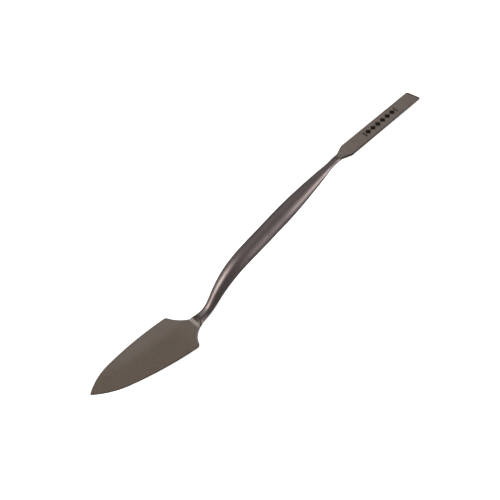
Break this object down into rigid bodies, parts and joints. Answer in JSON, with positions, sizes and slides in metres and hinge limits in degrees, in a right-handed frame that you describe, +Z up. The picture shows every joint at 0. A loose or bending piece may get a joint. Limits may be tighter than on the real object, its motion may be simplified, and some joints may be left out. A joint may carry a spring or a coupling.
{
  "type": "leaf and square small tool",
  "caption": "Double-ended hand tool: a leaf-shaped trowel blade, a cranked and swelled round handle and a narrow square-ended blade, all steel.",
  "frame": {"origin": "under the middle of the tool's overall box, on the surface that the tool lies on", "axes": "+X along the level handle towards the square blade, +Y to the side, +Z up, away from the surface; the leaf blade is at -X and rises towards its tip"},
  "size_m": [0.267, 0.03, 0.0312],
  "materials": {
    "leaf_steel": "ground and lightly brushed along the blade",
    "handle_steel": "satin polished bar with a warm grey tint",
    "weld_steel": "dressed weld, darkened by heat at the root",
    "square_steel": "ground flat, fine matte",
    "mark_fill": "dark matte fill"
  },
  "bodies": {
    "root": {"leaf_blade": "leaf_steel", "leaf_weld": "weld_steel", "handle": "handle_steel", "square_weld": "weld_steel", "square_blade": "square_steel", "mark_inlay": "mark_fill"}
  },
  "joints": []
}
